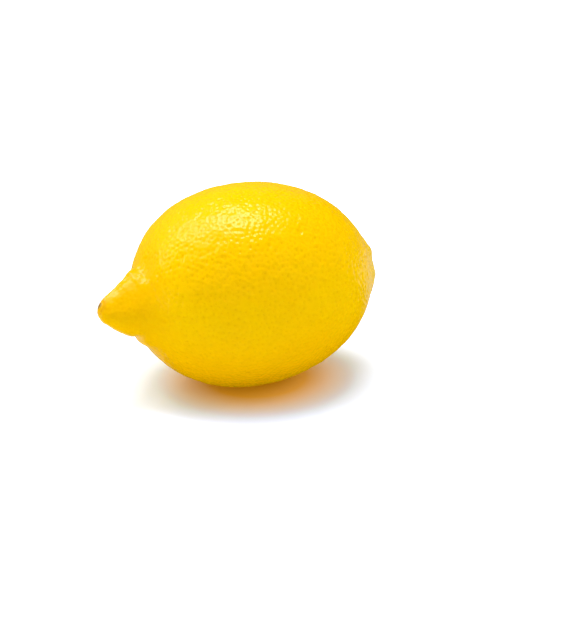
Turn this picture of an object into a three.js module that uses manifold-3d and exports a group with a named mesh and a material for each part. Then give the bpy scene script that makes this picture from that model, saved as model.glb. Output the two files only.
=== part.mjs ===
// A whole lemon lying on its side: one grown fruit that tapers into a nipple at its blossom end,
// and the dry stem button seated in the shallow hollow at its other end.
// Millimetres and degrees, +Z up. The long axis lies along X, with the nipple towards -X.
// The origin is under the middle of the lemon's box, on the surface that it rests on.

import * as THREE from "three";
import { mergeVertices } from "three/addons/utils/BufferGeometryUtils.js";
import Module from "manifold-3d";

// Driving dimensions: the body, an egg-like round about the long axis
const GIRTH_RADIUS = 30; // half of the diameter at the middle
const HALF_LENGTH = 36.7; // from the middle to either end, without the nipple
const FULLNESS = 2.07; // 2 is a true ellipse, and more gives fuller shoulders
const BLOSSOM_BIAS = 0.03; // share by which the nipple half is the fatter one

// The nipple: a cone with a round tip, blended into the body and leaning a little
const NIPPLE_LENGTH = 48; // from the body's middle to the tip
const NIPPLE_TIP_RADIUS = 4.1;
const NIPPLE_HALF_ANGLE = 33.4; // between the cone's side and the long axis
const NIPPLE_BLEND = 3.2; // softness of the hollow where the cone leaves the body
const NIPPLE_ZONE = 50; // the cone is looked for within this angle of the tip
const LEAN_START = 25.7; // distance from the middle where the lean begins
const LEAN_SIDEWAYS = -0.7;
const LEAN_DOWN = -1;

// The stem end: a low furrowed collar round the hollow that holds the button
const COLLAR_RISE = 1.7;
const COLLAR_ANGLE = 11.5; // of the collar's crest, from the long axis
const COLLAR_WIDTH = 6.5;
const FURROWS = 7;
const FURROW_SHARE = 0.3; // of the collar's rise that each furrow takes away

// The girth isn't a true circle: two slow waves run round it
const WAVES = [
  { count: 2, height: 0.24, turn: 35 },
  { count: 5, height: 0.14, turn: 80 },
];

// The flat spot that the fruit rests on
const REST_DEPTH = 0.55;
const REST_CUT_SIZE = 40;

// The stem button: a lobed dry calyx with the stub of the cut stalk
const BUTTON_RADIUS = 4.4;
const BUTTON_GAP = 0.3; // to the rind below it
const BUTTON_RIM = 0.6; // thickness at the edge
const BUTTON_LOBES = 5;
const LOBE_HEIGHT = 0.45; // how far the lobes reach past the mean radius
const STUB_RADIUS = 1.75;
const STUB_FOOT_RADIUS = 2.6; // where the stub flares out into the calyx
const STUB_HEIGHT = 2.6; // above the underside of the button
const FOOT_HEIGHT = 1.25;

// Steps of the round forms
const PROFILE_STEPS = 56;
const END_CROWDING = 0.82; // 0 spaces the profile's steps evenly, and 1 crowds them into both ends
const TURN_STEPS = 48;
const BUTTON_TURN_STEPS = 40;
const BUTTON_UNDERSIDE_STEPS = 5;

const RIND = new THREE.MeshStandardMaterial({ color: 0xf9cc12, roughness: 0.38, metalness: 0 });
const DRY_CALYX = new THREE.MeshStandardMaterial({ color: 0x6b5a34, roughness: 0.85, metalness: 0 });

const radians = THREE.MathUtils.degToRad;
const bell = (distance, width) => Math.exp(-((distance / width) ** 2));

/** The larger of two values, with a rounded change from one to the other. */
function softMax(a, b, softness) {
  const share = THREE.MathUtils.clamp(0.5 + (0.5 * (a - b)) / softness, 0, 1);
  return a * share + b * (1 - share) + softness * share * (1 - share);
}

/** Distance from the middle to the bare body, at an angle from the nipple's side of the axis. */
function bodyReach(angle) {
  const girth = GIRTH_RADIUS * (1 + BLOSSOM_BIAS * Math.cos(angle));
  const along = Math.abs(Math.cos(angle) / HALF_LENGTH) ** FULLNESS;
  const across = Math.abs(Math.sin(angle) / girth) ** FULLNESS;
  return (along + across) ** (-1 / FULLNESS);
}

/** Distance from the middle to the nipple's round tip or straight side, and 0 away from it. */
function nippleReach(angle) {
  if (angle > radians(NIPPLE_ZONE)) return 0;
  const half = radians(NIPPLE_HALF_ANGLE);
  const centre = NIPPLE_LENGTH - NIPPLE_TIP_RADIUS;
  const tipEnd = Math.atan2(
    NIPPLE_TIP_RADIUS * Math.cos(half),
    centre + NIPPLE_TIP_RADIUS * Math.sin(half),
  );
  if (angle > tipEnd) return (centre * Math.sin(half) + NIPPLE_TIP_RADIUS) / Math.sin(angle + half);
  const offset = centre * Math.sin(angle);
  return centre * Math.cos(angle) + Math.sqrt(NIPPLE_TIP_RADIUS ** 2 - offset ** 2);
}

/** Height of the collar at an angle from the stem's side of the axis. */
function collarHeight(stemAngle) {
  return COLLAR_RISE * bell(stemAngle - radians(COLLAR_ANGLE), radians(COLLAR_WIDTH));
}

/** Distance from the middle to the rind, at an angle from the nipple's side of the axis. */
function rindReach(angle) {
  const reach = softMax(bodyReach(angle), nippleReach(angle), NIPPLE_BLEND);
  return reach + collarHeight(Math.PI - angle);
}

/** The rind's half outline from the tip to the stem end, as radius and height along the axis. */
function rindOutline() {
  const points = [];
  for (let step = 0; step <= PROFILE_STEPS; step += 1) {
    const even = (Math.PI * step) / PROFILE_STEPS;
    const angle = even - (END_CROWDING * Math.sin(2 * even)) / 2;
    const onAxis = step === 0 || step === PROFILE_STEPS;
    const reach = rindReach(angle);
    points.push(new THREE.Vector2(onAxis ? 0 : reach * Math.sin(angle), -reach * Math.cos(angle)));
  }
  return points;
}

/** Turns an outline round the X axis. */
function turned(outline, steps) {
  return new THREE.LatheGeometry(outline, steps).rotateZ(-Math.PI / 2);
}

/** Moves every vertex of a geometry by a function that changes it in place. */
function reshape(geometry, change) {
  const position = geometry.getAttribute("position");
  const point = new THREE.Vector3();
  for (let i = 0; i < position.count; i += 1) {
    change(point.fromBufferAttribute(position, i));
    position.setXYZ(i, point.x, point.y, point.z);
  }
  return geometry;
}

/** Gives the turned fruit its waves, its furrowed collar and its leaning nipple. */
function growUnevenly(point) {
  const radius = Math.hypot(point.y, point.z);
  const turn = Math.atan2(point.z, point.y);
  const stemAngle = Math.atan2(radius, point.x);
  const reach = Math.hypot(radius, point.x);
  const bulge = WAVES.reduce(
    (sum, wave) => sum + wave.height * Math.cos(wave.count * turn + radians(wave.turn)),
    0,
  );
  const furrow = FURROW_SHARE * collarHeight(stemAngle) * (0.5 + 0.5 * Math.cos(FURROWS * turn));
  point.multiplyScalar(1 - furrow / reach);
  const swell = 1 + (bulge * Math.sin(stemAngle)) / GIRTH_RADIUS;
  point.set(point.x, point.y * swell, point.z * swell);
  const lean = THREE.MathUtils.smoothstep(-point.x, LEAN_START, NIPPLE_LENGTH);
  point.y += LEAN_SIDEWAYS * lean;
  point.z += LEAN_DOWN * lean;
}

/** The button's half outline: its underside follows the hollow, and its top rises to the stub. */
function buttonOutline() {
  const underside = (radius) => {
    const stemAngle = radius / HALF_LENGTH;
    return rindReach(Math.PI - stemAngle) * Math.cos(stemAngle) + BUTTON_GAP;
  };
  const points = [];
  for (let step = 0; step <= BUTTON_UNDERSIDE_STEPS; step += 1) {
    const radius = (BUTTON_RADIUS * step) / BUTTON_UNDERSIDE_STEPS;
    points.push(new THREE.Vector2(radius, underside(radius)));
  }
  const floor = underside(0);
  const edge = underside(BUTTON_RADIUS);
  const calyxTop = new THREE.CubicBezierCurve(
    new THREE.Vector2(BUTTON_RADIUS, edge + BUTTON_RIM),
    new THREE.Vector2(BUTTON_RADIUS - 0.7, edge + BUTTON_RIM + 0.1),
    new THREE.Vector2(STUB_FOOT_RADIUS + 0.4, floor + FOOT_HEIGHT),
    new THREE.Vector2(STUB_FOOT_RADIUS, floor + FOOT_HEIGHT + 0.1),
  );
  const stubSide = new THREE.QuadraticBezierCurve(
    new THREE.Vector2(STUB_FOOT_RADIUS, floor + FOOT_HEIGHT + 0.1),
    new THREE.Vector2(STUB_RADIUS, floor + FOOT_HEIGHT + 0.3),
    new THREE.Vector2(STUB_RADIUS, floor + STUB_HEIGHT),
  );
  points.push(...calyxTop.getPoints(4), ...stubSide.getPoints(3).slice(1));
  points.push(new THREE.Vector2(0, floor + STUB_HEIGHT));
  return points;
}

/** Draws the calyx out into its lobes. */
function growLobes(point) {
  const radius = Math.hypot(point.y, point.z);
  const turn = Math.atan2(point.z, point.y);
  const share = THREE.MathUtils.smoothstep(radius, STUB_FOOT_RADIUS, BUTTON_RADIUS);
  const stretch = 1 + (share * LOBE_HEIGHT * Math.cos(BUTTON_LOBES * turn)) / BUTTON_RADIUS;
  point.set(point.x, point.y * stretch, point.z * stretch);
}

const wasm = await Module();
wasm.setup();

/** A closed geometry as a solid that can be cut. */
function toSolid(geometry) {
  const bare = new THREE.BufferGeometry();
  bare.setAttribute("position", geometry.getAttribute("position"));
  bare.setIndex(geometry.getIndex());
  const merged = mergeVertices(bare, 1e-4);
  return new wasm.Manifold(
    new wasm.Mesh({
      numProp: 3,
      vertProperties: merged.getAttribute("position").array,
      triVerts: new Uint32Array(merged.getIndex().array),
    }),
  );
}

/** A solid as a geometry for a mesh. */
function toGeometry(solid) {
  const mesh = solid.getMesh();
  const geometry = new THREE.BufferGeometry();
  geometry.setAttribute("position", new THREE.BufferAttribute(mesh.vertProperties, 3));
  geometry.setIndex(new THREE.BufferAttribute(mesh.triVerts, 1));
  geometry.computeVertexNormals();
  return geometry;
}

/** The fruit, with the flat spot cut off its underside. */
function fruit() {
  const grown = reshape(turned(rindOutline(), TURN_STEPS), growUnevenly);
  grown.computeBoundingBox();
  const restHeight = grown.boundingBox.min.z + REST_DEPTH;
  const cut = new THREE.BoxGeometry(REST_CUT_SIZE, REST_CUT_SIZE, REST_CUT_SIZE);
  cut.translate(0, 0, restHeight - REST_CUT_SIZE / 2);
  const mesh = new THREE.Mesh(toGeometry(toSolid(grown).subtract(toSolid(cut))), RIND);
  mesh.name = "fruit";
  return mesh;
}

/** The stem button. */
function stemButton() {
  const geometry = reshape(turned(buttonOutline(), BUTTON_TURN_STEPS), growLobes);
  const mesh = new THREE.Mesh(geometry, DRY_CALYX);
  mesh.name = "stem_button";
  return mesh;
}

const lying = new THREE.Group();
lying.add(fruit(), stemButton());
const box = new THREE.Box3().setFromObject(lying);
const middle = box.getCenter(new THREE.Vector3());
lying.position.set(-middle.x, -middle.y, -box.min.z);

const lemon = new THREE.Group();
lemon.add(lying);

export default lemon;
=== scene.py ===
"""A whole lemon on a white studio floor: a pitted waxy rind with its nipple, scar and stem button.

Sizes of the fruit are in millimetres until a mesh is made, and everything in Blender is in metres.
"""

import logging
import math
from dataclasses import dataclass, field
from enum import Enum

import bpy
import numpy as np
from mathutils import Matrix, Vector, kdtree
from mathutils.geometry import delaunay_2d_cdt


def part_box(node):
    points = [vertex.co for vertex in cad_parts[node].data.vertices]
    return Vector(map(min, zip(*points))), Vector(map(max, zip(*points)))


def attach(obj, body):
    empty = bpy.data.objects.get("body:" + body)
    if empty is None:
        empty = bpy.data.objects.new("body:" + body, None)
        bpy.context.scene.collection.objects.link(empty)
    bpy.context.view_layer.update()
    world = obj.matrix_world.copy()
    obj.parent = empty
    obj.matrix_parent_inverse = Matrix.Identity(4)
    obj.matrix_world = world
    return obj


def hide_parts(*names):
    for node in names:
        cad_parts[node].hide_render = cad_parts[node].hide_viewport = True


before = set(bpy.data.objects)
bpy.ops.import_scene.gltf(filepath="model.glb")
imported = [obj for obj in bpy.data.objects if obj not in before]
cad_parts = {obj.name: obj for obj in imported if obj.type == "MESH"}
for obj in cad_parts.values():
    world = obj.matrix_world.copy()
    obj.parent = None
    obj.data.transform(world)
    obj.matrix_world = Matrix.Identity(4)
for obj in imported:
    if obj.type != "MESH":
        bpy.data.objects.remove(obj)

Array = np.ndarray
Faces = list[list[int]]
Socket = bpy.types.NodeSocket
Colour = tuple[float, float, float]
Span = tuple[float, float]
Share = tuple[float, float, float]

LOG = logging.getLogger("lemon")
MM = 0.001
FULL_TURN = 2 * math.pi
TINY = 1e-9
# The triangulation gives back every triangle within the hull of its points.
HULL_TRIANGLES = 0
# The colour sockets of a mix node, by number because their names repeat.
MIX_UNDER = 6
MIX_OVER = 7
MIX_RESULT = 2
WHITE = (1.0, 1.0, 1.0)
COOL = (1.0, 1.0, 1.95)
# Where a noise is cut off: near its ends for a frayed edge, and closer in for wear.
NOISE_LIMITS = (0.2, 0.8)
WEAR_LIMITS = (0.3, 0.7)
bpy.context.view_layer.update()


class Slot(Enum):
    """The record's material slots."""

    RIND = "rind"
    DRY_CALYX = "dry_calyx"


class Zone(Enum):
    """Values stored at each vertex of a piece, which its finish reads."""

    PORE = "pore"
    SCAR = "scar"
    SCAR_EDGE = "scar_edge"
    STEM = "stem"
    NIPPLE = "nipple"
    # Painted shade, full at the fruit's bottom and fading out higher up.
    UNDERSIDE_PAINTED_SHADE = "underside"
    CUT = "cut"


def bell(distance: Array, width: float | Array) -> Array:
    """A smooth bump of height one.

    Args:
        distance: How far each point is from the bump's middle.
        width: The distance at which the bump has fallen to 0.37.

    Returns:
        The bump's height at each point.
    """
    return np.exp(-((distance / width) ** 2))


def ease(value: Array, start: float, end: float) -> Array:
    """A smooth step from zero at start to one at end.

    Args:
        value: Where to read the step.
        start: The value below which the step is zero.
        end: The value above which the step is one.

    Returns:
        The step's height at each value.
    """
    share = np.clip((value - start) / (end - start), 0.0, 1.0)
    return share * share * (3 - 2 * share)


def soft_max(first: Array, second: Array, softness: float) -> Array:
    """The larger of two values, with a rounded change from one to the other.

    Args:
        first: One value.
        second: The other value.
        softness: The difference over which the change is rounded.

    Returns:
        The rounded larger value.
    """
    share = np.clip(0.5 + 0.5 * (first - second) / softness, 0.0, 1.0)
    return first * share + second * (1 - share) + softness * share * (1 - share)


def polar(reach: Array | float, turn: Array) -> Array:
    """Points at distances and angles from a middle, with one row of two coordinates for each."""
    return np.stack([reach * np.cos(turn), reach * np.sin(turn)], 1)


@dataclass(frozen=True)
class Wave:
    """A wave that runs round the axis."""

    count: int
    height: float
    start: float = 0.0

    def at(self, turn: Array) -> Array:
        """The wave's height at angles round the axis."""
        return self.height * np.cos(self.count * turn + self.start)


@dataclass(frozen=True)
class LemonForm:
    """The smooth form that the fruit has grown to. Angles run from the nipple's side of its axis."""

    girth_radius: float = 30.0
    half_length: float = 36.7
    fullness: float = 2.07
    blossom_bias: float = 0.03
    nipple_length: float = 48.0
    nipple_tip_radius: float = 4.1
    nipple_half_angle: float = math.radians(33.4)
    nipple_blend: float = 3.2
    nipple_zone: float = math.radians(50)
    lean_start: float = 25.7
    lean_sideways: float = -0.7
    lean_down: float = -1.0
    collar_rise: float = 1.7
    collar_angle: float = math.radians(11.5)
    collar_width: float = math.radians(6.5)
    furrows: int = 7
    furrow_share: float = 0.3
    waves: tuple[Wave, ...] = (
        Wave(2, 0.24, math.radians(35)),
        Wave(5, 0.14, math.radians(80)),
    )

    def body_reach(self, angle: Array) -> Array:
        """Distance from the middle to the bare body.

        Args:
            angle: Angles from the nipple's side of the axis.

        Returns:
            A distance for each angle.
        """
        girth = self.girth_radius * (1 + self.blossom_bias * np.cos(angle))
        along = np.abs(np.cos(angle) / self.half_length) ** self.fullness
        across = np.abs(np.sin(angle) / girth) ** self.fullness
        return (along + across) ** (-1 / self.fullness)

    def nipple_reach(self, angle: Array) -> Array:
        """Distance from the middle to the nipple's round tip or straight side, and 0 away from it.

        Args:
            angle: Angles from the nipple's side of the axis.

        Returns:
            A distance for each angle.
        """
        half = self.nipple_half_angle
        tip = self.nipple_tip_radius
        centre = self.nipple_length - tip
        tip_end = math.atan2(tip * math.cos(half), centre + tip * math.sin(half))
        near = np.minimum(angle, self.nipple_zone)
        side = (centre * math.sin(half) + tip) / np.sin(near + half)
        inside = np.maximum(tip**2 - (centre * np.sin(near)) ** 2, 0.0)
        reach = np.where(near < tip_end, centre * np.cos(near) + np.sqrt(inside), side)
        return np.where(angle > self.nipple_zone, 0.0, reach)

    def collar_height(self, stem_angle: Array) -> Array:
        """Height of the collar at angles from the stem's side of the axis."""
        return self.collar_rise * bell(stem_angle - self.collar_angle, self.collar_width)

    def rind_reach(self, angle: Array) -> Array:
        """Distance from the middle to the rind at angles from the nipple's side."""
        body = soft_max(self.body_reach(angle), self.nipple_reach(angle), self.nipple_blend)
        return body + self.collar_height(math.pi - angle)

    def turned(self, angle: Array, turn: Array) -> Array:
        """Rows of x, y and z of the outline turned round the axis, before its unevenness."""
        reach = self.rind_reach(angle)
        return np.column_stack([-reach * np.cos(angle), polar(reach * np.sin(angle), turn)])

    def grown(self, angle: Array, turn: Array) -> Array:
        """Points of the rind with its waves, its furrowed collar and its leaning nipple.

        Args:
            angle: Angles from the nipple's side of the axis.
            turn: Angles round the axis.

        Returns:
            One row of x, y and z for each point.
        """
        point = self.turned(angle, turn)
        stem_angle = math.pi - angle
        dip = 0.5 + 0.5 * np.cos(self.furrows * turn)
        furrow = self.furrow_share * self.collar_height(stem_angle) * dip
        point *= (1 - furrow / self.rind_reach(angle))[:, None]
        bulge = sum(wave.at(turn) for wave in self.waves)
        point[:, 1:] *= (1 + bulge * np.sin(stem_angle) / self.girth_radius)[:, None]
        lean = ease(-point[:, 0], self.lean_start, self.nipple_length)
        point[:, 1] += self.lean_sideways * lean
        point[:, 2] += self.lean_down * lean
        return point


@dataclass
class RindChart:
    """A flat chart of the turned form that keeps angles, so that round rings stay round on it."""

    form: LemonForm
    steps: int = 6000
    edge: float = 1e-4

    def __post_init__(self) -> None:
        """Measures the form's outline from the nipple's tip to the stem end."""
        self.angle = np.linspace(self.edge, math.pi - self.edge, self.steps)
        reach = self.form.rind_reach(self.angle)
        along = -reach * np.cos(self.angle)
        self.radius = reach * np.sin(self.angle)
        step = np.hypot(np.diff(along), np.diff(self.radius))
        between = (self.radius[1:] + self.radius[:-1]) / 2
        self.arc = np.concatenate([[self.radius[0]], self.radius[0] + np.cumsum(step)])
        self.area = np.concatenate([[0.0], np.cumsum(FULL_TURN * between * step)])
        rise = np.cumsum(step / between)
        self.log_reach = math.log(self.radius[0]) + np.concatenate([[0.0], rise])

    def scatter(self, count: int, random: np.random.Generator) -> tuple[Array, Array]:
        """The angles and turns of places drawn evenly over the surface."""
        share = random.uniform(0.0, self.area[-1], count)
        return np.interp(share, self.area, self.angle), random.uniform(0, FULL_TURN, count)

    def spiral(self, count: int) -> tuple[Array, Array]:
        """Places laid evenly over the surface along a sunflower spiral.

        Args:
            count: How many places.

        Returns:
            The angle and the turn of each place.
        """
        golden_turn = math.pi * (3 - math.sqrt(5))
        share = (np.arange(count) + 0.5) / count * self.area[-1]
        return np.interp(share, self.area, self.angle), np.arange(count) * golden_turn % FULL_TURN

    def flatten(self, angle: Array, turn: Array) -> Array:
        """Where places lie on the flat chart, with one row of two coordinates for each."""
        return polar(np.exp(np.interp(angle, self.angle, self.log_reach)), turn)

    def unflatten(self, flat: Array) -> tuple[Array, Array]:
        """The angles and turns of the places that lie at points of the flat chart."""
        reach = np.log(np.maximum(np.hypot(flat[:, 0], flat[:, 1]), TINY))
        return np.interp(reach, self.log_reach, self.angle), np.arctan2(flat[:, 1], flat[:, 0])

    def flat_scale(self, angle: Array) -> Array:
        """How many flat units a millimetre of rind takes at each angle."""
        reach = np.exp(np.interp(angle, self.angle, self.log_reach))
        return reach / np.interp(angle, self.angle, self.radius)


def tree_of(points: Array) -> kdtree.KDTree:
    """A search tree of points.

    Args:
        points: One row of x, y and z for each point.

    Returns:
        The balanced tree.
    """
    tree = kdtree.KDTree(len(points))
    for index, point in enumerate(points.tolist()):
        tree.insert(point, index)
    tree.balance()
    return tree


def nearest(tree: kdtree.KDTree, points: Array, count: int) -> tuple[Array, Array]:
    """The nearest points of a tree to each of some points.

    Args:
        tree: The tree to search.
        points: One row of x, y and z for each point.
        count: How many neighbours each point gets.

    Returns:
        The neighbours' indices and distances, one row for each point.
    """
    found = [tree.find_n(point, count) for point in points.tolist()]
    index = np.array([[hit[1] for hit in hits] for hits in found])
    distance = np.array([[hit[2] for hit in hits] for hits in found])
    return index, distance


@dataclass
class PoreField:
    """The oil pores of the rind: shallow pits, unevenly spaced and unequal in size."""

    chart: RindChart
    random: np.random.Generator
    spacing: float = 1.6
    settling_rounds: int = 7
    push: float = 0.45
    # From how near neighbours push a pore, in spacings, and how many of them do.
    push_reach: float = 1.08
    pushed_by: int = 6
    # How many of the nearest pores dimple a point.
    felt_from: int = 4
    mean_radius: float = 0.47
    mean_depth: float = 0.25
    mouth_radius: float = 0.28
    size_spread: float = 0.2
    size_limits: Span = (0.5, 1.5)
    depth_limits: Span = (0.7, 1.2)

    def __post_init__(self) -> None:
        """Scatters the pores, then lets them settle apart."""
        count = int(self.chart.area[-1] / (self.spacing**2 * math.sqrt(3) / 2))
        self.angle, self.turn = self.chart.scatter(count, self.random)
        for _ in range(self.settling_rounds):
            self._settle()
        self.tree = tree_of(self.chart.form.turned(self.angle, self.turn))
        size = np.clip(self.random.normal(1.0, self.size_spread, count), *self.size_limits)
        self.radius = self.mean_radius * size
        self.depth = self.mean_depth * size * self.random.uniform(*self.depth_limits, count)

    def _settle(self) -> None:
        """Pushes each pore away from those that are too near."""
        place = self.chart.form.turned(self.angle, self.turn)
        index, distance = nearest(tree_of(place), place, 1 + self.pushed_by)
        away = place[:, None] - place[index[:, 1:]]
        gap = np.maximum(distance[:, 1:], TINY)
        force = np.maximum(self.spacing * self.push_reach - gap, 0.0) / gap
        place = place + self.push * (away * force[:, :, None]).sum(1)
        self.angle = np.arctan2(np.hypot(place[:, 1], place[:, 2]), -place[:, 0])
        self.turn = np.arctan2(place[:, 2], place[:, 1])

    def read(self, place: Array) -> tuple[Array, Array]:
        """How deep the dimples lie at points, and how near the points are to a pore's mouth.

        Args:
            place: Points of the turned form.

        Returns:
            The depth in millimetres, and a share that is 1 in a mouth's middle, for each point.
        """
        index, distance = nearest(self.tree, place, self.felt_from)
        within = bell(distance, self.radius[index])
        mouth = bell(distance[:, 0], self.mouth_radius) * self.depth[index[:, 0]] / self.mean_depth
        return (self.depth[index] * within).sum(1), np.clip(mouth, 0.0, 1.0)


@dataclass
class Ripples:
    """An even random swell made of plane waves that cross the fruit in all directions."""

    shortest: float
    longest: float
    count: int
    random: np.random.Generator

    def __post_init__(self) -> None:
        """Draws the waves."""
        heading = self.random.normal(size=(self.count, 3))
        heading /= np.linalg.norm(heading, axis=1)[:, None]
        length = self.random.uniform(self.shortest, self.longest, self.count)
        self.wave = heading * (FULL_TURN / length)[:, None]
        self.start = self.random.uniform(0, FULL_TURN, self.count)

    def height(self, place: Array) -> Array:
        """The swell at rows of x, y and z, with a spread of about one."""
        return np.cos(place @ self.wave.T + self.start).sum(1) * math.sqrt(2 / self.count)


@dataclass
class Piece:
    """A finished mesh and what the frame needs to know of it."""

    name: str
    node: str
    slot: Slot
    body: str = "root"

    def make(self, vertices: Array, faces: Faces, finish: bpy.types.Material) -> bpy.types.Object:
        """Makes the smooth-shaded object and puts it in the frame.

        Args:
            vertices: One row of x, y and z for each vertex.
            faces: The vertices of each face.
            finish: Its material.

        Returns:
            The object.
        """
        mesh = bpy.data.meshes.new(self.name)
        mesh.from_pydata(vertices, [], faces)
        mesh.validate()
        mesh.polygons.foreach_set("use_smooth", np.ones(len(mesh.polygons), bool))
        mesh.materials.append(finish)
        mesh.update()
        made = bpy.data.objects.new(self.name, mesh)
        bpy.context.scene.collection.objects.link(made)
        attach(made, self.body)
        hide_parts(self.node)
        return made


def store(mesh: bpy.types.Mesh, zone: Zone, value: Array) -> None:
    """Stores a zone's value at each vertex of a mesh."""
    stored = mesh.attributes.new(zone.value, "FLOAT", "POINT")
    stored.data.foreach_set("value", value.astype(np.float32))


@dataclass(frozen=True)
class Swelling:
    """A local rise of the rind, or a hollow if its height is negative. Sizes are in millimetres."""

    angle: float
    turn: float
    height: float
    width: float
    spread: float

    def rise(self, form: LemonForm, angle: Array, turn: Array) -> Array:
        """The swelling's height over the form.

        Args:
            form: The form that it lies on.
            angle: Angles from the nipple's side of the axis, in radians.
            turn: Angles round the axis, in radians.

        Returns:
            A height for each place.
        """
        along = form.rind_reach(angle) * (angle - math.radians(self.angle))
        bend = (turn - math.radians(self.turn) + math.pi) % FULL_TURN - math.pi
        return self.height * bell(along, self.width) * bell(bend, math.radians(self.spread))


@dataclass
class Fruit:
    """The fruit: its pitted rind, creased nipple, blossom scar and stem hollow."""

    form: LemonForm = field(default_factory=LemonForm)
    seed: int = 7
    fill_count: int = 92000
    fill_clearance: float = 0.24
    ring_count: int = 6
    ring_share: float = 0.76
    rim_count: int = 28
    rim_clearance: float = 0.9
    stem_margin: float = 0.5
    measuring_places: int = 40000
    # The shortest and the longest wavelength of each kind of ripple, and how many waves it has.
    lump_waves: tuple[float, float, int] = (14.0, 34.0, 14)
    swell_waves: tuple[float, float, int] = (3.2, 7.0, 40)
    skin_waves: tuple[float, float, int] = (1.4, 2.6, 50)
    lump_height: float = 0.08
    swell_height: float = 0.035
    skin_height: float = 0.012
    swellings: tuple[Swelling, ...] = (
        # The crease that runs under the nipple, between two lips, and the chin below it.
        Swelling(9.5, -105.0, 0.4, 2.0, 45.0),
        Swelling(13.7, -106.0, -0.7, 0.9, 38.0),
        Swelling(17.0, -112.0, 0.6, 2.2, 40.0),
        Swelling(6.3, -105.0, 0.3, 1.3, 40.0),
        Swelling(12.0, -105.0, 0.25, 4.5, 35.0),
        # The fold over the nipple's back, from its tip to the hollow behind it.
        Swelling(5.5, 52.0, 0.3, 2.6, 60.0),
        Swelling(18.5, 52.0, -0.55, 2.4, 45.0),
        # The ridge up the nipple's front.
        Swelling(4.5, 82.0, 0.3, 1.9, 15.0),
        Swelling(10.5, 93.0, 0.45, 1.6, 15.0),
        Swelling(12.0, 77.0, 0.55, 5.0, 7.0),
        Swelling(14.3, 89.0, 0.7, 1.1, 27.0),
        # The hollows on either side of that ridge, and the shelf it ends on.
        Swelling(9.0, 143.0, -0.6, 5.0, 30.0),
        Swelling(15.0, 130.0, -0.45, 5.0, 45.0),
        Swelling(17.0, 106.0, -0.55, 2.6, 16.0),
        Swelling(18.0, 135.0, -0.3, 0.9, 18.0),
        Swelling(22.0, 96.0, -0.7, 3.4, 19.0),
        # The blunt tip, all the way round, and two broad low bulges of the body.
        Swelling(0.0, 0.0, 0.3, 2.6, 2000.0),
        Swelling(100.0, 66.0, 0.3, 30.0, 50.0),
        Swelling(60.0, -105.0, 0.25, 18.0, 40.0),
    )
    # Heights above the floor over which the painted shade on the fruit's bottom fades out.
    underside: Span = (2.0, 34.0)
    stem_width: float = math.radians(15)
    nipple_fade: Span = (math.radians(12), math.radians(34))
    # How much of the ripples and of the pores' colour the nipple loses.
    nipple_calm: float = 0.85
    nipple_paleness: float = 0.35
    # How much of the skin's ripples and of the pits stays where the rind is quite calm.
    skin_kept: float = 0.5
    pits_kept: float = 0.35
    scar_heading: tuple[float, float, float] = (-0.84, 0.17, 0.5)
    scar_radius: float = 1.6
    scar_depth: float = 0.06
    # Shares of the scar's radius: where the scar fades, and its lip's middle and width.
    scar_fade: Span = (0.2, 1.2)
    lip: Span = (1.25, 0.45)
    lip_height: float = 0.08
    # The two discs of the map: their middles across, and how far each reaches across and up.
    disc_middles: Span = (0.25, 0.75)
    disc_reach: Span = (0.235, 0.47)

    def __post_init__(self) -> None:
        """Charts the form, scatters the pores and finds where the fruit stands in the frame."""
        self.random = np.random.default_rng(self.seed)
        self.chart = RindChart(self.form)
        self.pores = PoreField(self.chart, self.random)
        self.lumps = Ripples(*self.lump_waves, self.random)
        self.swell = Ripples(*self.swell_waves, self.random)
        self.skin = Ripples(*self.skin_waves, self.random)
        self.middle = self._middle()

    def _middle(self) -> Array:
        """Finds the body's middle from the CAD fruit's box.

        Returns:
            Its x, y and z in the frame, in millimetres.
        """
        low, high = (np.array(corner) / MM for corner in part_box("fruit"))
        rind = self.form.grown(*self.chart.spiral(self.measuring_places))
        across = (low[1] + high[1]) / 2 - (rind[:, 1].min() + rind[:, 1].max()) / 2
        return np.array([low[0] - rind[:, 0].min(), across, high[2] - rind[:, 2].max()])

    def _mesh_places(self) -> Array:
        """Flat places of the mesh's vertices: the pores' middles, rings in them, and others between.

        Returns:
            One row of two flat coordinates for each vertex.
        """
        pores = self.pores
        flat = self.chart.flatten(pores.angle, pores.turn)
        reach = pores.radius * self.ring_share * self.chart.flat_scale(pores.angle)
        start = self.random.uniform(0, FULL_TURN, len(flat))
        places = [flat]
        for step in range(self.ring_count):
            ring = flat + polar(reach, start + FULL_TURN * step / self.ring_count)
            places.append(ring[self._own(ring)])
        fill = self.chart.flatten(*self.chart.spiral(self.fill_count))
        index, distance = nearest(pores.tree, self._on_form(fill), 1)
        clear = pores.radius[index[:, 0]] * self.ring_share + self.fill_clearance
        places.append(fill[distance[:, 0] > clear])
        return np.concatenate(places)

    def _on_form(self, flat: Array) -> Array:
        """Points of the turned form that lie at flat places."""
        return self.form.turned(*self.chart.unflatten(flat))

    def _own(self, flat: Array) -> Array:
        """Which of these ring points, one for each pore in order, lie nearest to their own."""
        index, _ = nearest(self.pores.tree, self._on_form(flat), 1)
        return index[:, 0] == np.arange(len(flat))

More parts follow.
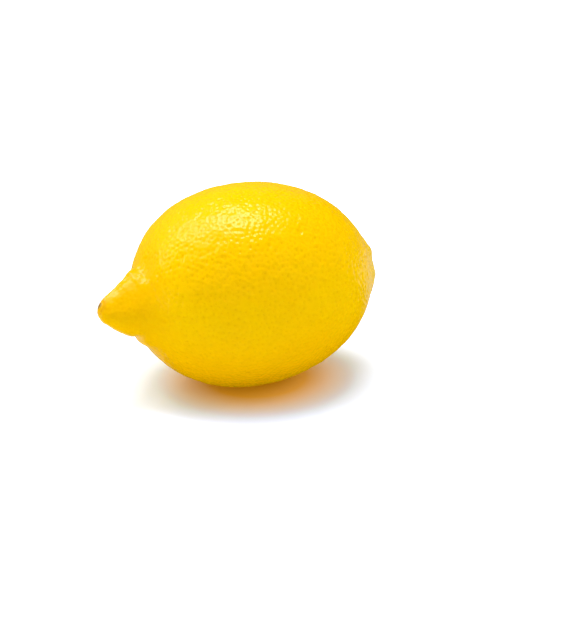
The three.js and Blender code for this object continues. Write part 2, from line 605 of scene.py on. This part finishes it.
    def _triangles(self, flat: Array) -> tuple[Array, Faces]:
        """Joins flat places with triangles and closes the hole at the stem end.

        Args:
            flat: One row of two flat coordinates for each place.

        Returns:
            The flat places in the order that the triangles use, and the triangles.
        """
        rim_arc = self.chart.arc[-1] - self.stem_margin
        rim_reach = math.exp(np.interp(rim_arc, self.chart.arc, self.chart.log_reach))
        rim = polar(rim_reach, FULL_TURN * np.arange(self.rim_count) / self.rim_count)
        within = np.hypot(flat[:, 0], flat[:, 1]) < rim_reach * self.rim_clearance
        given = [Vector(place) for place in np.concatenate([flat[within], rim]).tolist()]
        places, _, faces, *_ = delaunay_2d_cdt(given, [], [], HULL_TRIANGLES, TINY)
        flat = np.array([tuple(place) for place in places])
        outer = np.argsort(-np.hypot(flat[:, 0], flat[:, 1]))[: self.rim_count]
        outer = outer[np.argsort(np.arctan2(flat[outer, 1], flat[outer, 0]))].tolist()
        end = len(flat)
        cap = [[a, end, b] for a, b in zip(outer, outer[1:] + outer[:1])]
        far = np.array([[math.exp(self.chart.log_reach[-1]), 0.0]])
        outward = [face[::-1] for face in faces + cap]
        return np.concatenate([flat, far]), outward

    def _scar_distance(self, point: Array) -> Array:
        """Distance of points from the middle of the blossom scar.

        Args:
            point: Points of the grown form.

        Returns:
            A distance for each point.
        """
        form = self.form
        along = form.nipple_tip_radius - form.nipple_length
        centre = np.array([along, form.lean_sideways, form.lean_down])
        heading = np.array(self.scar_heading) / np.linalg.norm(self.scar_heading)
        return np.linalg.norm(point - (centre + heading * form.nipple_tip_radius), axis=1)

    def build(self, finish: bpy.types.Material) -> bpy.types.Object:
        """Builds the fruit's mesh with its zones.

        Args:
            finish: The rind's material.

        Returns:
            The object.
        """
        flat, faces = self._triangles(self._mesh_places())
        angle, turn = self.chart.unflatten(flat)
        # The mesh is first made smooth and in millimetres, for its normals, and ends in metres.
        grown = self.form.grown(angle, turn) + self.middle
        made = Piece("lemon_rind", "fruit", Slot.RIND).make(grown, faces, finish)
        mesh = made.data
        normal = np.empty(len(mesh.vertices) * 3, np.float32)
        mesh.vertices.foreach_get("normal", normal)
        height = self._relief(mesh, angle, turn)
        point = grown + normal.reshape(-1, 3).astype(float) * height[:, None]
        point[:, 2] = np.maximum(point[:, 2], 0.0)
        mesh.vertices.foreach_set("co", (point * MM).astype(np.float32).ravel())
        self._lay_out(mesh, angle, turn)
        mesh.update()
        return made

    def _relief(self, mesh: bpy.types.Mesh, angle: Array, turn: Array) -> Array:
        """Stores the zones of the rind at its vertices, and adds up its relief.

        Args:
            mesh: The mesh that holds the vertices.
            angle: Each vertex's angle from the nipple's side of the axis.
            turn: Each vertex's angle round the axis.

        Returns:
            How far each vertex stands out from the grown form.
        """
        grown = self.form.grown(angle, turn)
        pit, pore = self.pores.read(self.form.turned(angle, turn))
        nipple = 1 - ease(angle, *self.nipple_fade)
        away = self._scar_distance(grown)
        scar = 1 - ease(away, *(self.scar_radius * share for share in self.scar_fade))
        lip_middle, lip_width = (self.scar_radius * share for share in self.lip)
        lip = bell(away - lip_middle, lip_width)
        store(mesh, Zone.PORE, pore * (1 - scar) * (1 - self.nipple_paleness * nipple))
        store(mesh, Zone.SCAR, scar)
        store(mesh, Zone.SCAR_EDGE, lip * (1 - scar))
        store(mesh, Zone.STEM, bell(math.pi - angle, self.stem_width))
        store(mesh, Zone.NIPPLE, nipple)
        # Painted shade: a mask that is full at the bottom of the fruit and fades out higher up.
        store(mesh, Zone.UNDERSIDE_PAINTED_SHADE, 1 - ease((grown + self.middle)[:, 2], *self.underside))
        calm = 1 - self.nipple_calm * nipple
        skin_share = self.skin_kept + (1 - self.skin_kept) * calm
        pit_share = self.pits_kept + (1 - self.pits_kept) * calm
        return (
            self.lump_height * self.lumps.height(grown) * calm
            + self.swell_height * self.swell.height(grown) * calm
            + self.skin_height * self.skin.height(grown) * skin_share
            - pit * (1 - scar) * pit_share
            + sum(swelling.rise(self.form, angle, turn) for swelling in self.swellings)
            - self.scar_depth * scar
            + self.lip_height * lip
        )

    def _lay_out(self, mesh: bpy.types.Mesh, angle: Array, turn: Array) -> None:
        """Gives the mesh a map of two discs, one for each end of the fruit.

        Args:
            mesh: The mesh.
            angle: Each vertex's angle from the nipple's side of the axis.
            turn: Each vertex's angle round the axis.
        """
        arc = np.interp(angle, self.chart.angle, self.chart.arc)
        vertex = np.empty(len(mesh.loops), np.int32)
        mesh.loops.foreach_get("vertex_index", vertex)
        half_way = self.chart.arc[-1] / 2
        stem_side = (arc[vertex].reshape(-1, 3).mean(1) > half_way).repeat(3)
        reach = np.where(stem_side, self.chart.arc[-1] - arc[vertex], arc[vertex]) / half_way
        nipple_disc, stem_disc = self.disc_middles
        centre = np.where(stem_side, stem_disc, nipple_disc)
        layer = mesh.uv_layers.new(name="OFBake", do_init=False)
        across = centre + self.disc_reach[0] * reach * np.cos(turn[vertex])
        up = 0.5 + self.disc_reach[1] * reach * np.sin(turn[vertex])
        layer.uv.foreach_set("vector", np.stack([across, up], 1).astype(np.float32).ravel())


@dataclass
class StemButton:
    """The dry calyx with its lobes and the stub of the cut stalk."""

    fruit: Fruit
    around: int = 160
    radius: float = 4.5
    # The seat and the stub's top are heights above the hollow's floor, the others above the seat.
    seat_height: float = 0.5
    sunk: float = 0.25
    under_dip: float = 0.35
    under_steps: tuple[float, ...] = (0.0, 0.5, 0.9)
    rim_share: float = 0.97
    rim_round: float = 0.03
    rim_height: float = 0.32
    rim_thickness: float = 0.3
    rim_steps: int = 8
    calyx_height: float = 0.62
    calyx_dome: float = 0.28
    calyx_steps: int = 22
    stub_radius: float = 1.7
    foot_radius: float = 2.7
    foot_height: float = 0.9
    foot_flare: float = 2.6
    stub_height: float = 2.75
    stub_steps: int = 16
    cut_dome: float = 0.12
    cut_steps: int = 9
    cut_fade: Span = (0.6, 0.95)
    lobes: Wave = Wave(5, 0.42)
    lobe_waver: tuple[Wave, ...] = (Wave(2, 0.12, 0.7), Wave(7, 0.08, 2.1))
    sway: Wave = Wave(3, 0.18, 0.9)
    wrinkles: tuple[Wave, ...] = (Wave(23, 0.1), Wave(41, 0.06, 0.4))
    wrinkle_bend: Wave = Wave(3, 1.3, -math.pi / 2)
    crack_depth: float = 0.3
    crack_width: float = 0.16
    ribs: Wave = Wave(11, 0.035, 0.5)
    rib_fade: float = 0.4
    # The rows of the mesh over which its unevenness sets in, from the buried side.
    shown_rows: Span = (3.0, 8.0)

    def _outline(self) -> Array:
        """Draws the half outline, from the buried underside to the cut end.

        Returns:
            One row of radius and height for each step.
        """
        floor = float(self.fruit.form.rind_reach(np.array([math.pi]))[0])
        seat = floor + self.seat_height
        edge = self.radius * self.rim_share
        outline = [
            (self.radius * share, seat - self.sunk - self.under_dip * (1 - share))
            for share in self.under_steps
        ]
        for tilt in np.linspace(-math.pi / 2, math.pi / 2, self.rim_steps):
            reach = self.radius * (self.rim_share + self.rim_round * math.cos(tilt))
            outline.append((reach, seat + self.rim_height + self.rim_thickness * math.sin(tilt)))
        for share in np.linspace(0, 1, self.calyx_steps)[1:]:
            reach = edge + (self.foot_radius - edge) * share
            outline.append((reach, seat + self.calyx_height + self.calyx_dome * share**2))
        foot = seat + self.foot_height
        top = floor + self.stub_height
        for share in np.linspace(0, 1, self.stub_steps)[1:]:
            flare = (self.foot_radius - self.stub_radius) * (1 - share) ** self.foot_flare
            outline.append((self.stub_radius + flare, foot + (top - foot) * share))
        for share in np.linspace(0, 1, self.cut_steps)[1:]:
            rise = self.cut_dome * math.sin(math.pi * share)
            outline.append((self.stub_radius * (1 - share), top + rise))
        return np.array(outline)

    def _relief(self, radius: Array, turn: Array) -> Array:
        """The wrinkles, cracks and sway of the lobes.

        Args:
            radius: Each vertex's distance from the axis.
            turn: Each vertex's angle round the axis.

        Returns:
            How far each vertex stands out along the axis.
        """
        long_wrinkle, short_wrinkle = self.wrinkles
        bent = turn + self.wrinkle_bend.at(turn) / long_wrinkle.count
        wrinkle = long_wrinkle.at(bent) + short_wrinkle.at(turn)
        crack = self.crack_depth * bell(np.sin(self.lobes.count * turn / 2), self.crack_width)
        return ease(radius, self.foot_radius, self.radius) * (wrinkle - crack + self.sway.at(turn))

    def build(self, finish: bpy.types.Material) -> bpy.types.Object:
        """Builds the button's mesh.

        Args:
            finish: The dry calyx's material.

        Returns:
            The object.
        """
        outline = self._outline()
        rows = len(outline)
        radius, height = (np.repeat(column, self.around) for column in outline.T)
        turn = np.tile(FULL_TURN * np.arange(self.around) / self.around, rows)
        shown = ease(np.repeat(np.arange(float(rows)), self.around), *self.shown_rows)
        waver = self.lobes.at(turn) + sum(wave.at(turn) for wave in self.lobe_waver)
        lobe = 1 + ease(radius, self.foot_radius, self.radius) * waver / self.radius
        rib = 1 + self.ribs.at(turn) * ease(self.foot_radius - radius, 0.0, self.rib_fade) * shown
        reach = radius * lobe * rib
        height = height + shown * self._relief(radius, turn)
        place = np.column_stack([height, polar(reach, turn)])
        corner = np.arange((rows - 1) * self.around).reshape(rows - 1, self.around)
        after = np.roll(corner, -1, axis=1)
        quads = np.stack([corner, after, after + self.around, corner + self.around], 2)
        piece = Piece("stem_button_calyx", "stem_button", Slot.DRY_CALYX)
        vertices = (place + self.fruit.middle) * MM
        made = piece.make(vertices, quads.reshape(-1, 4).tolist(), finish)
        cut = 1 - ease(radius, *(self.stub_radius * share for share in self.cut_fade))
        store(made.data, Zone.CUT, shown * cut)
        return made


class Graph:
    """A material's nodes, with short ways to add them and join them."""

    def __init__(self, name: str) -> None:
        """Starts a material that holds only its output and its main shader.

        Args:
            name: The material's name.
        """
        self.material = bpy.data.materials.new(name)
        self.material.use_nodes = True
        self.tree = self.material.node_tree
        self.tree.nodes.clear()
        self.shader = self.add("ShaderNodeBsdfPrincipled")
        self.output = self.add("ShaderNodeOutputMaterial")
        self.tree.links.new(self.shader.outputs[0], self.output.inputs["Surface"])

    def add(self, kind: str, **settings: object) -> bpy.types.Node:
        """Adds a node and sets its properties and its unlinked inputs.

        Args:
            kind: The node's type.
            settings: Properties by name, and inputs by name with spaces as underscores.

        Returns:
            The node.
        """
        node = self.tree.nodes.new(kind)
        for name, value in settings.items():
            if hasattr(node, name):
                setattr(node, name, value)
                continue
            socket = node.inputs[name.replace("_", " ")]
            if isinstance(value, Socket):
                self.tree.links.new(value, socket)
            else:
                socket.default_value = value
        return node

    def zone(self, zone: Zone) -> Socket:
        """A zone's value, as stored at the vertices."""
        return self.add("ShaderNodeAttribute", attribute_name=zone.value).outputs["Fac"]

    def noise(self, size: float, detail: float = 2.0) -> Socket:
        """Smooth noise over the piece.

        Args:
            size: The size of its patches in millimetres.
            detail: How many finer layers it has.

        Returns:
            A value from 0 to 1.
        """
        where = self.add("ShaderNodeTexCoord").outputs["Object"]
        made = self.add("ShaderNodeTexNoise", Vector=where, Scale=1 / (size * MM), Detail=detail)
        return made.outputs["Fac"]

    def range(self, value: Socket, low: float, high: float, start: float, end: float) -> Socket:
        """A value moved from its range, low to high, to another one and held inside it."""
        ends = {"From_Min": low, "From_Max": high, "To_Min": start, "To_Max": end}
        return self.add("ShaderNodeMapRange", clamp=True, Value=value, **ends).outputs["Result"]

    def share(self, value: Socket, start: float, full: float, most: float) -> Socket:
        """How much of a layer shows: none up to the start, and the most from the full value on."""
        return self.range(value, start, full, 0.0, most)

    def _pair(self, operation: str, first: Socket, second: Socket) -> Socket:
        """Two values joined by an operation.

        Args:
            operation: The name of the operation.
            first: One value.
            second: The other value.

        Returns:
            The result.
        """
        made = self.add("ShaderNodeMath", operation=operation)
        self.tree.links.new(first, made.inputs[0])
        self.tree.links.new(second, made.inputs[1])
        return made.outputs[0]

    def sum(self, first: Socket, second: Socket) -> Socket:
        """Two values added."""
        return self._pair("ADD", first, second)

    def product(self, first: Socket, second: Socket) -> Socket:
        """Two values multiplied."""
        return self._pair("MULTIPLY", first, second)

    def blend(self, share: Socket, under: Socket | Colour, over: Colour) -> Socket:
        """One colour laid over another.

        Args:
            share: How much of the upper colour shows.
            under: The lower colour, as a socket or a colour.
            over: The upper colour.

        Returns:
            The blended colour.
        """
        made = self.add("ShaderNodeMix", data_type="RGBA")
        self.tree.links.new(share, made.inputs["Factor"])
        if isinstance(under, Socket):
            self.tree.links.new(under, made.inputs[MIX_UNDER])
        else:
            made.inputs[MIX_UNDER].default_value = (*under, 1.0)
        made.inputs[MIX_OVER].default_value = (*over, 1.0)
        return made.outputs[MIX_RESULT]

    def plug(self, name: str, value: Socket | Colour | float) -> None:
        """Sets an input of the main shader.

        Args:
            name: The input's name.
            value: What it gets: a socket to link, or a colour or number to hold.
        """
        if isinstance(value, Socket):
            self.tree.links.new(value, self.shader.inputs[name])
        else:
            self.shader.inputs[name].default_value = value

    def ragged(self, value: Socket, noise: Span, most: float) -> Socket:
        """A zone's value, raised and lowered by noise so that its edge frays."""
        return self.sum(value, self.range(self.noise(*noise), *NOISE_LIMITS, -most, most))

    def bump(self, noises: tuple[Span, Span], depth: float) -> None:
        """Fine relief on the main shader, from two noises added.

        Args:
            noises: For each, the size of its patches in millimetres, and its finer layers.
            depth: The height of the relief in millimetres.
        """
        height = self.sum(*(self.noise(*noise) for noise in noises))
        made = self.add("ShaderNodeBump", Strength=1.0, Distance=depth * MM, Height=height)
        self.plug("Normal", made.outputs["Normal"])


@dataclass(frozen=True)
class RindFinish:
    """Waxy lemon rind: warm yellow with darker pores, a greener stem end, a brown scar and painted
    shade below.

    A noise is the size of its patches in millimetres, and how many finer layers it has. A share is
    the value where a layer starts to show, the one where it shows in full, and how much that is.
    """

    yellow: Colour = (0.945, 0.57, 0.0)
    deep_yellow: Colour = (0.925, 0.515, 0.0)
    pore_colour: Colour = (0.82, 0.43, 0.0)
    # Painted shade: a darker, more orange yellow laid on the fruit's bottom.
    underside_painted_shade: Colour = (0.89, 0.43, 0.0)
    stem_green: Colour = (0.50, 0.46, 0.02)
    nipple_amber: Colour = (0.865, 0.455, 0.0)
    scar_brown: Colour = (0.33, 0.17, 0.04)
    scar_halo: Colour = (0.78, 0.38, 0.01)
    patch_noise: Span = (22.0, 3.0)
    patch_share: Share = (0.35, 0.7, 0.7)
    grain_noise: Span = (0.9, 2.0)
    grain_share: Share = (0.45, 0.75, 0.35)
    amber_share: Share = (0.0, 1.0, 0.6)
    green_share: Share = (0.05, 1.0, 0.6)
    pore_share: Share = (0.25, 1.0, 0.55)
    halo_share: Share = (0.1, 1.0, 0.8)
    scar_share: Share = (0.3, 0.9, 1.0)
    ragged_noise: Span = (0.5, 3.0)
    raggedness: float = 0.25
    wear_noise: Span = (5.0, 3.0)
    roughness: Span = (0.12, 0.21)
    scar_dullness: Share = (0.0, 1.0, 0.4)
    pore_dullness: Share = (0.2, 0.9, 0.04)
    wax_noises: tuple[Span, Span] = ((0.22, 2.0), (0.6, 2.0))
    wax_depth: float = 0.006
    refraction: float = 1.38
    under_light: float = 0.12
    under_light_depth: float = 1.6
    under_light_colour: Colour = (1.0, 0.55, 0.12)

    def material(self) -> bpy.types.Material:
        """Lays the rind's colours over one another and sets its gloss.

        Returns:
            The material.
        """
        graph = Graph("waxy_rind")
        pore = graph.zone(Zone.PORE)
        scar = graph.ragged(graph.zone(Zone.SCAR), self.ragged_noise, self.raggedness)
        scar = graph.share(scar, *self.scar_share)
        layers = (
            (graph.share(graph.noise(*self.grain_noise), *self.grain_share), self.deep_yellow),
            # Painted shade: the rind turns darker and more orange towards the bottom.
            (graph.zone(Zone.UNDERSIDE_PAINTED_SHADE), self.underside_painted_shade),
            (graph.share(graph.zone(Zone.NIPPLE), *self.amber_share), self.nipple_amber),
            (graph.share(graph.zone(Zone.STEM), *self.green_share), self.stem_green),
            (graph.share(pore, *self.pore_share), self.pore_colour),
            (graph.share(graph.zone(Zone.SCAR_EDGE), *self.halo_share), self.scar_halo),
            (scar, self.scar_brown),
        )
        patches = graph.share(graph.noise(*self.patch_noise), *self.patch_share)
        colour = graph.blend(patches, self.yellow, self.deep_yellow)
        for share, over in layers:
            colour = graph.blend(share, colour, over)
        graph.plug("Base Color", colour)
        worn = graph.range(graph.noise(*self.wear_noise), *WEAR_LIMITS, *self.roughness)
        dull = graph.sum(
            graph.share(scar, *self.scar_dullness), graph.share(pore, *self.pore_dullness)
        )
        graph.plug("Roughness", graph.sum(worn, dull))
        graph.bump(self.wax_noises, self.wax_depth)
        graph.plug("IOR", self.refraction)
        graph.plug("Subsurface Weight", self.under_light)
        graph.plug("Subsurface Radius", self.under_light_colour)
        graph.plug("Subsurface Scale", self.under_light_depth * MM)
        return graph.material


@dataclass(frozen=True)
class CalyxFinish:
    """Dry calyx and stalk: olive brown, fibrous and dull, with a paler cut end."""

    brown: Colour = (0.25, 0.155, 0.07)
    dark: Colour = (0.09, 0.055, 0.03)
    dry_green: Colour = (0.22, 0.205, 0.075)
    cut_tan: Colour = (0.48, 0.34, 0.19)
    green_noise: Span = (1.6, 4.0)
    green_share: Share = (0.35, 0.65, 1.0)
    fibre_noise: Span = (0.35, 4.0)
    fibre_share: Share = (0.4, 0.7, 0.75)
    ragged_noise: Span = (0.5, 3.0)
    raggedness: float = 0.3
    cut_share: Share = (0.3, 0.9, 0.9)
    grain_noises: tuple[Span, Span] = ((0.5, 4.0), (0.2, 2.0))
    grain_depth: float = 0.08
    roughness: float = 0.85

    def material(self) -> bpy.types.Material:
        """Lays the calyx's colours over one another and sets its grain.

        Returns:
            The material.
        """
        graph = Graph("dry_calyx")
        green = graph.share(graph.noise(*self.green_noise), *self.green_share)
        colour = graph.blend(green, self.brown, self.dry_green)
        fibres = graph.share(graph.noise(*self.fibre_noise), *self.fibre_share)
        colour = graph.blend(fibres, colour, self.dark)
        cut = graph.ragged(graph.zone(Zone.CUT), self.ragged_noise, self.raggedness)
        colour = graph.blend(graph.share(cut, *self.cut_share), colour, self.cut_tan)
        graph.plug("Base Color", colour)
        graph.plug("Roughness", self.roughness)
        graph.bump(self.grain_noises, self.grain_depth)
        return graph.material


@dataclass(frozen=True)
class Panel:
    """A soft light panel, lit evenly, that faces a point."""

    name: str
    size: tuple[float, float]
    heading: tuple[float, float, float]
    distance: float
    brightness: float
    turn: float = 0.0
    mirrored: bool = True
    colour: Colour = WHITE

    def build(self, target: Vector) -> bpy.types.Object:
        """Hangs the panel. One that isn't mirrored lights the rind without showing in its gloss.

        Args:
            target: The point that it faces.

        Returns:
            The light.
        """
        lamp = bpy.data.lights.new(self.name, "AREA")
        lamp.shape = "RECTANGLE"
        lamp.size, lamp.size_y = self.size
        lamp.energy = self.brightness * math.pi * self.size[0] * self.size[1]
        lamp.color = self.colour
        made = bpy.data.objects.new(self.name, lamp)
        away = Vector(self.heading).normalized()
        face = away.to_track_quat("Z", "Y").to_matrix() @ Matrix.Rotation(self.turn, 3, "Z")
        made.matrix_world = Matrix.Translation(target + away * self.distance) @ face.to_4x4()
        made.visible_camera = False
        made.visible_glossy = self.mirrored
        lamp.cycles.use_multiple_importance_sampling = self.mirrored
        bpy.context.scene.collection.objects.link(made)
        return made


def fill_light(
    name: str, heading: tuple[float, float, float], brightness: float, side: float = 0.7
) -> Panel:
    """A cool square light that fills the shade without showing in the rind's gloss."""
    return Panel(name, (side, side), heading, 1.0, brightness, mirrored=False, colour=COOL)


@dataclass
class Studio:
    """A white floor without a horizon under soft overhead light."""

    floor_size: float = 40.0
    floor_white: Colour = (0.83, 0.94, 1.13)
    # Painted shade: the warm tint of the floor's colour near the fruit.
    painted_contact_shade: Colour = (1.0, 0.62, 0.2)
    # Painted bounced light: the orange of the floor's glow next to the fruit.
    painted_bounce_orange: Colour = (1.0, 0.5, 0.0)
    contact_glow: float = 0.1
    thrown_colour: Colour = (0.84, 0.92, 0.1)
    # The footprint's half length and half width, its shift, and shares of it where things change.
    footprint: Span = (0.0343, 0.0323)
    footprint_lead: Span = (0.0004, -0.0022)
    # Shares of the footprint where the painted warm shade and the painted orange glow fade out.
    painted_contact_reach: Span = (0.43, 0.88)
    glow_reach: Span = (0.8, 1.15)
    far_reach: Span = (2.5, 8.0)
    seen_glow: float = 0.22
    thrown_glow: float = 0.12
    # Painted reflection: the floor's glow that only the rind's gloss sees, its warm tint in front,
    # and where it rises and fades.
    mirrored_glow: float = 0.6
    painted_reflection_warmth: Colour = (0.5, 0.34, 0.0)
    mirrored_from: Span = (0.004, 0.02)
    mirrored_to: Span = (0.07, 0.16)
    far_share: float = 0.2
    fill: float = 0.525
    fill_colour: Colour = (1.0, 1.0, 0.35)
    seen_white: Colour = (1.3, 1.3, 1.3)
    panels: tuple[Panel, ...] = (
        Panel("overhead_panel", (0.56, 0.44), (0.06, 0.165, 0.95), 0.95, 6.0, math.radians(-20)),
        Panel("shoulder_panel", (0.34, 0.4), (-0.42, 0.45, 0.76), 1.0, 3.8, math.radians(-20)),
        Panel("left_panel", (0.2, 0.25), (-0.76, 0.5, 0.42), 1.0, 2.6),
        Panel("side_panel", (0.45, 0.35), (-0.48, 0.06, 0.86), 1.0, 0.8),
        Panel("back_panel", (2.0, 0.7), (0.0, 1.0, 0.35), 1.2, 0.12),
        fill_light("top_light", (0.0, 0.0, 1.0), 0.65, side=0.8),
        fill_light("left_top_light", (-0.9, 0.43, 1.0), 0.88),
        fill_light("right_top_light", (0.9, -0.43, 1.0), 1.35),
        fill_light("front_top_light", (-0.2, -0.55, 0.8), 0.3),
        fill_light("left_light", (-0.86, 0.41, 0.3), 0.3),
    )

    def _world(self) -> None:
        """White where the camera looks, and a quieter room for light and reflections."""
        world = bpy.data.worlds.new("white_room")
        bpy.context.scene.world = world
        world.use_nodes = True
        nodes, links = world.node_tree.nodes, world.node_tree.links
        nodes.clear()
        path = nodes.new("ShaderNodeLightPath")
        background = nodes.new("ShaderNodeBackground")
        output = nodes.new("ShaderNodeOutputWorld")
        seen = nodes.new("ShaderNodeMix")
        seen.data_type = "RGBA"
        seen.inputs[MIX_UNDER].default_value = (*(self.fill * part for part in self.fill_colour), 1.0)
        seen.inputs[MIX_OVER].default_value = (*self.seen_white, 1.0)
        links.new(path.outputs["Is Camera Ray"], seen.inputs["Factor"])
        links.new(seen.outputs[MIX_RESULT], background.inputs["Color"])
        links.new(background.outputs["Background"], output.inputs["Surface"])
        world.cycles_visibility.glossy = False

    def _floor(self, target: Vector) -> None:
        """A matt white floor that glows round the fruit, so that only its footprint is in shade. Near
        the fruit it has painted warm shade and a painted orange glow.

        Args:
            target: The middle of the fruit, above the middle of its footprint.
        """
        graph = Graph("studio_floor")
        where = graph.add("ShaderNodeTexCoord").outputs["Object"]
        spread = graph.add("ShaderNodeMapping", vector_type="TEXTURE", Vector=where)
        lead = Vector((*self.footprint_lead, -target.z))
        spread.inputs["Location"].default_value = target + lead
        spread.inputs["Scale"].default_value = (*self.footprint, 1.0)
        away = graph.add("ShaderNodeVectorMath", operation="LENGTH", Vector=spread.outputs["Vector"])
        away = away.outputs["Value"]
        # Painted shade: a mask that is full near the fruit's footprint.
        warm = graph.range(away, *self.painted_contact_reach, 1.0, 0.0)
        seen = graph.add("ShaderNodeLightPath").outputs["Is Camera Ray"]
        thrown = graph.range(seen, 0.0, 1.0, 1.0, 0.0)
        matt = graph.blend(warm, self.floor_white, self.painted_contact_shade)
        graph.plug("Base Color", graph.blend(thrown, matt, self.thrown_colour))
        # Painted bounced light: the floor's glow turns orange next to the fruit.
        shine = graph.blend(warm, WHITE, self.painted_bounce_orange)
        graph.plug("Emission Color", graph.blend(thrown, shine, self.thrown_colour))
        graph.plug("Roughness", 1.0)
        graph.plug("Specular IOR Level", 0.0)
        most = graph.range(seen, 0.0, 1.0, self.thrown_glow, self.seen_glow)
        glow = graph.product(most, graph.range(away, *self.glow_reach, 0.0, 1.0))
        near = graph.range(away, *self.painted_contact_reach, self.contact_glow, 0.0)
        far = graph.product(seen, graph.range(away, *self.far_reach, 0.0, 1.0))
        graph.plug("Emission Strength", graph.sum(glow, graph.sum(near, far)))
        self._far_reflection(graph, where)
        graph.material.cycles.emission_sampling = "NONE"
        half = self.floor_size / 2
        mesh = bpy.data.meshes.new("studio_floor")
        corners = [(-half, -half, 0), (half, -half, 0), (half, half, 0), (-half, half, 0)]
        mesh.from_pydata(corners, [], [(0, 1, 2, 3)])
        mesh.materials.append(graph.material)
        floor = bpy.data.objects.new("studio_floor", mesh)
        bpy.context.scene.collection.objects.link(floor)

    def _far_reflection(self, graph: Graph, where: Socket) -> None:
        """Paints a reflection into the rind's gloss: to glossy rays alone the floor glows, white
        behind the fruit and warm in front.

        Args:
            graph: The floor's material.
            where: Places on the floor.
        """
        axes = graph.add("ShaderNodeSeparateXYZ", Vector=where)
        start = graph.range(axes.outputs["Y"], *self.mirrored_from, 0.0, self.mirrored_glow)
        end = graph.range(axes.outputs["Y"], *self.mirrored_to, 1.0, self.far_share)
        # Painted reflection: warm in front of the fruit, whitish behind it.
        colour = graph.blend(graph.product(start, end), self.painted_reflection_warmth, WHITE)
        mirrored = graph.add("ShaderNodeEmission", Color=colour)
        glossy = graph.add("ShaderNodeLightPath").outputs["Is Glossy Ray"]
        mixed = graph.add("ShaderNodeMixShader", Fac=glossy)
        graph.tree.links.new(graph.shader.outputs[0], mixed.inputs[1])
        graph.tree.links.new(mirrored.outputs[0], mixed.inputs[2])
        graph.tree.links.new(mixed.outputs[0], graph.output.inputs["Surface"])

    def build(self, target: Vector) -> None:
        """Builds the floor, the room and the lights.

        Args:
            target: The point that the panels face.
        """
        self._world()
        self._floor(target)
        for panel in self.panels:
            panel.build(target)
        view = bpy.context.scene.view_settings
        view.view_transform = "Standard"
        view.look = "None"


@dataclass(frozen=True)
class Viewpoint:
    """Where the camera stands: low, to the left, with the nipple turned towards it."""

    azimuth: float = math.radians(-25.4)
    elevation: float = math.radians(22)
    distance: float = 566.6
    focal_length: float = 110.0
    sensor: float = 36.0
    aim_right: float = 9.83
    aim_down: float = 9.21

    def build(self, middle: Array) -> bpy.types.Object:
        """Sets up the camera.

        Args:
            middle: The middle of the fruit's body, in millimetres.

        Returns:
            The camera.
        """
        lens = bpy.data.cameras.new("view")
        lens.lens = self.focal_length
        lens.sensor_fit = "VERTICAL"
        lens.sensor_height = self.sensor
        made = bpy.data.objects.new("view", lens)
        flat = math.cos(self.elevation)
        back = Vector(
            (math.sin(self.azimuth) * flat, -math.cos(self.azimuth) * flat, math.sin(self.elevation))
        )
        right = Vector((math.cos(self.azimuth), math.sin(self.azimuth), 0.0))
        up = back.cross(right)
        aim = Vector(middle) + right * self.aim_right - up * self.aim_down
        axes = Matrix((right, up, back)).transposed().to_4x4()
        made.matrix_world = Matrix.Translation((aim + back * self.distance) * MM) @ axes
        bpy.context.scene.collection.objects.link(made)
        bpy.context.scene.camera = made
        return made


def report(piece: bpy.types.Object) -> None:
    """Logs a finished piece.

    Args:
        piece: The piece's object.
    """
    mesh = piece.data
    mesh.calc_loop_triangles()
    counts = (len(mesh.vertices), len(mesh.loop_triangles))
    LOG.info("%s: %d vertices, %d triangles", piece.name, *counts)


def main() -> None:
    """Builds the lemon, its studio and the camera."""
    logging.basicConfig(level=logging.INFO, format="%(name)s: %(message)s")
    fruit = Fruit()
    report(fruit.build(RindFinish().material()))
    report(StemButton(fruit).build(CalyxFinish().material()))
    Studio().build(Vector(fruit.middle) * MM)
    Viewpoint().build(fruit.middle)


if __name__ == "__main__":
    main()
